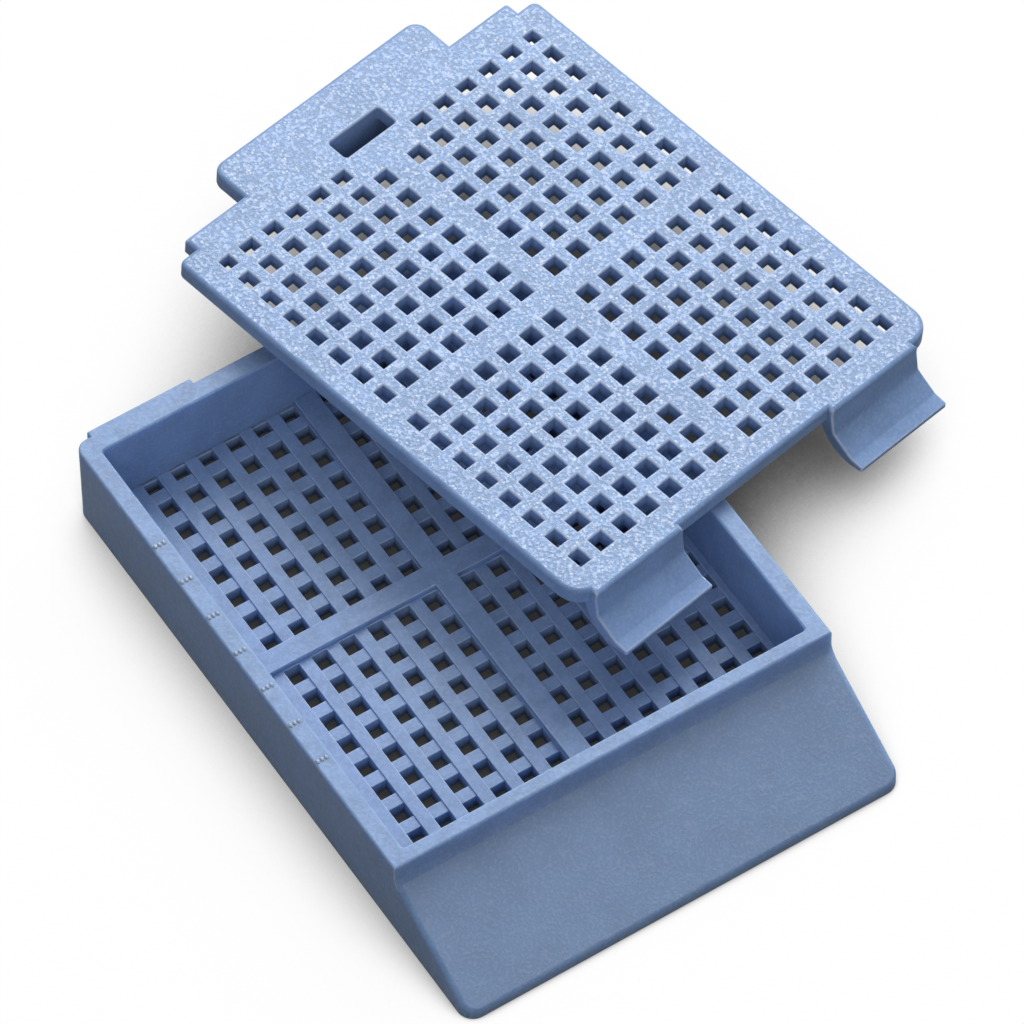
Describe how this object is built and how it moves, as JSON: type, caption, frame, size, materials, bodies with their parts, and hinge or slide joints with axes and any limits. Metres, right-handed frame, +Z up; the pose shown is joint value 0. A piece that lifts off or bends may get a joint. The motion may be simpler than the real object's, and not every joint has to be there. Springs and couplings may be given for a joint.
{
  "type": "tissue cassette",
  "caption": "Histology tissue cassette: perforated tray with a sloping writing face, and its separate snap lid with hooks and a tab lying across it.",
  "frame": {"origin": "centre of the tray's flat underside", "axes": "+Z up; +Y along the tray, from the foot of the writing face to the rear wall; +X across the tray, to the side where the lid overhangs"},
  "size_m": [0.0447, 0.0547, 0.009],
  "materials": {
    "tray_plastic": "moulded acetal, smooth tray, fine spark texture on the writing face",
    "lid_plastic": "moulded acetal with a coarse glittering spark texture on top"
  },
  "bodies": {
    "root": {"cassette_tray": "tray_plastic", "cassette_lid": "lid_plastic"}
  },
  "joints": []
}
